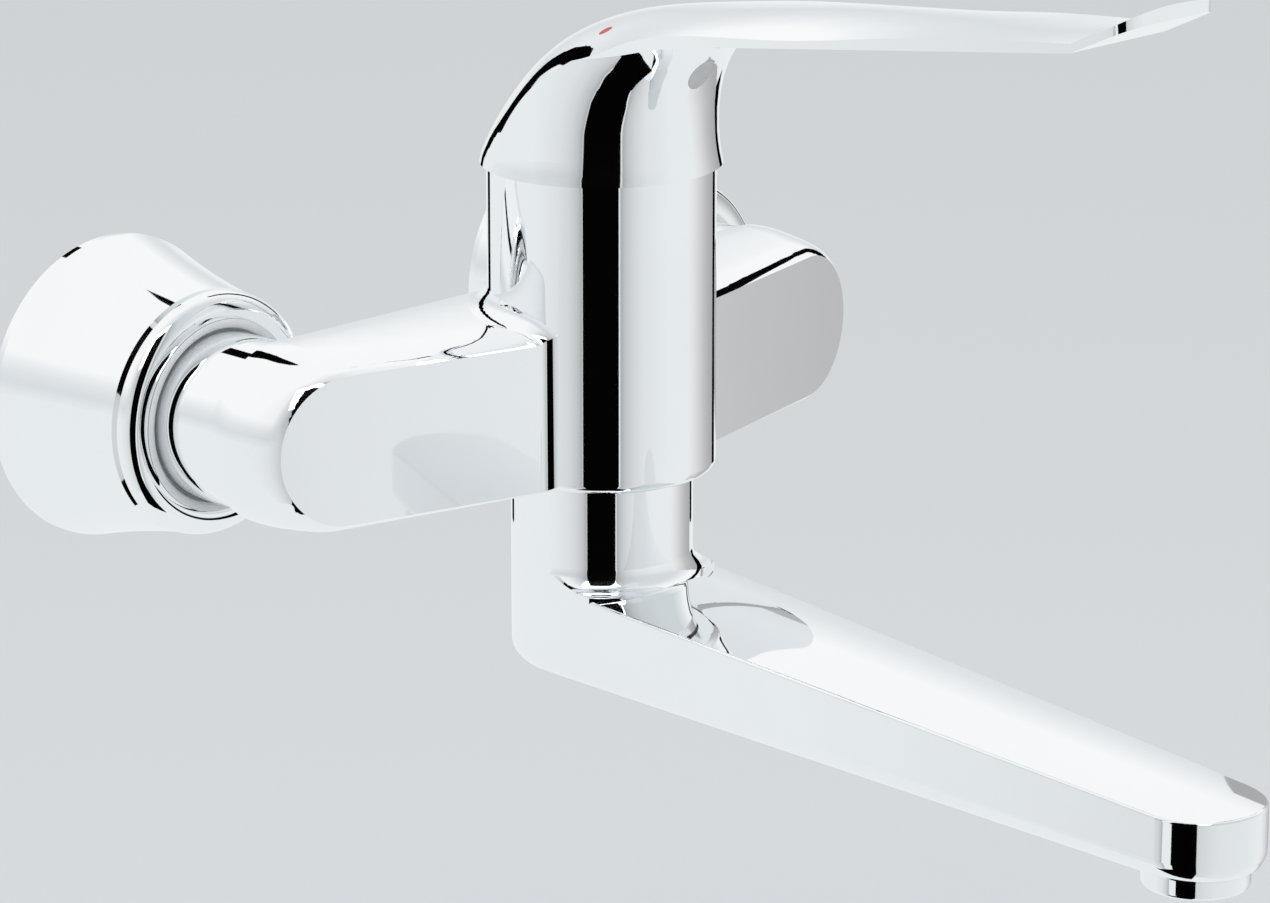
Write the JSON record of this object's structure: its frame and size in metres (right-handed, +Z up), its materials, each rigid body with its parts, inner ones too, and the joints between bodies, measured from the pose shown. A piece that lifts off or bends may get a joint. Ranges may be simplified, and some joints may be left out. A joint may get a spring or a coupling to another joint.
{
  "type": "elbow lever tap",
  "caption": "Wall-mounted tap with a long elbow lever, side inlets on cone rosettes and a flat swivelling spout with an aerator.",
  "frame": {"origin": "on the wall plane, midway between the two inlets", "axes": "+X along the wall to the right of someone facing the tap, +Y into the wall, +Z up"},
  "size_m": [0.2204, 0.297, 0.1882],
  "materials": {
    "chrome_cast": "bright chrome plate on cast brass",
    "chrome_lever": "bright chrome plate on zinc casting",
    "chrome_spout": "bright chrome plate on cast brass",
    "chrome_trim": "bright chrome plate on turned and pressed brass",
    "raw_brass": "turned, unplated",
    "bright_steel": "turned stainless steel",
    "black_plastic": "moulded, low sheen",
    "grey_plastic": "moulded, low sheen",
    "red_plastic": "moulded, low sheen",
    "white_ceramic": "lapped, smooth",
    "black_rubber": "moulded rubber",
    "red_enamel": "glossy inset",
    "blue_enamel": "glossy inset"
  },
  "bodies": {
    "mixer_body": {"body_casting": "chrome_cast", "cartridge_base": "black_plastic", "port_seals": "black_rubber", "fixed_ceramic_disc": "white_ceramic", "cartridge_housing": "grey_plastic", "temperature_limiter": "red_plastic", "clamp_ring": "raw_brass", "spout_bush": "black_plastic", "spout_lock_screw": "bright_steel", "inlet_nipple_left": "raw_brass", "union_nut_left": "raw_brass", "inlet_washer_left": "black_rubber", "offset_union_left": "raw_brass", "union_cover_left": "chrome_trim", "rosette_left": "chrome_trim", "inlet_nipple_right": "raw_brass", "union_nut_right": "raw_brass", "inlet_washer_right": "black_rubber", "offset_union_right": "raw_brass", "union_cover_right": "chrome_trim", "rosette_right": "chrome_trim"},
    "lever_swivel": {"cartridge_rotor": "grey_plastic", "pivot_pin": "bright_steel"},
    "lever": {"lever": "chrome_lever", "lever_stem": "raw_brass", "lever_grub_screw": "bright_steel", "lever_plug": "grey_plastic", "hot_mark": "red_enamel", "cold_mark": "blue_enamel"},
    "disc_slide": {"disc_carrier": "black_plastic", "moving_ceramic_disc": "white_ceramic"},
    "spout": {"spout": "chrome_spout", "spout_o_rings": "black_rubber", "aerator_ring": "chrome_trim", "aerator_insert": "grey_plastic", "aerator_washer": "black_rubber"}
  },
  "joints": [
    {"name": "lever_turn", "type": "hinge", "parent": "mixer_body", "child": "lever_swivel", "pos_m": [0, -0.085, 0.044], "axis": [0, 0, 1], "range_deg": [-45, 45]},
    {"name": "lever_lift", "type": "hinge", "parent": "lever_swivel", "child": "lever", "pos_m": [0, -0.085, 0.044], "axis": [-1, 0, 0], "range_deg": [0, 25]},
    {"name": "disc_shift", "type": "slide", "parent": "lever_swivel", "child": "disc_slide", "axis": [0, -1, 0], "range_m": [0, 0.0041]},
    {"name": "spout_swivel", "type": "hinge", "parent": "mixer_body", "child": "spout", "pos_m": [0, -0.085, -0.02], "axis": [0, 0, 1], "range_deg": [-90, 90]}
  ],
  "couplings": [
    {"joint": "disc_shift", "follows": "lever_lift", "m_per_rad": 0.00843}
  ]
}
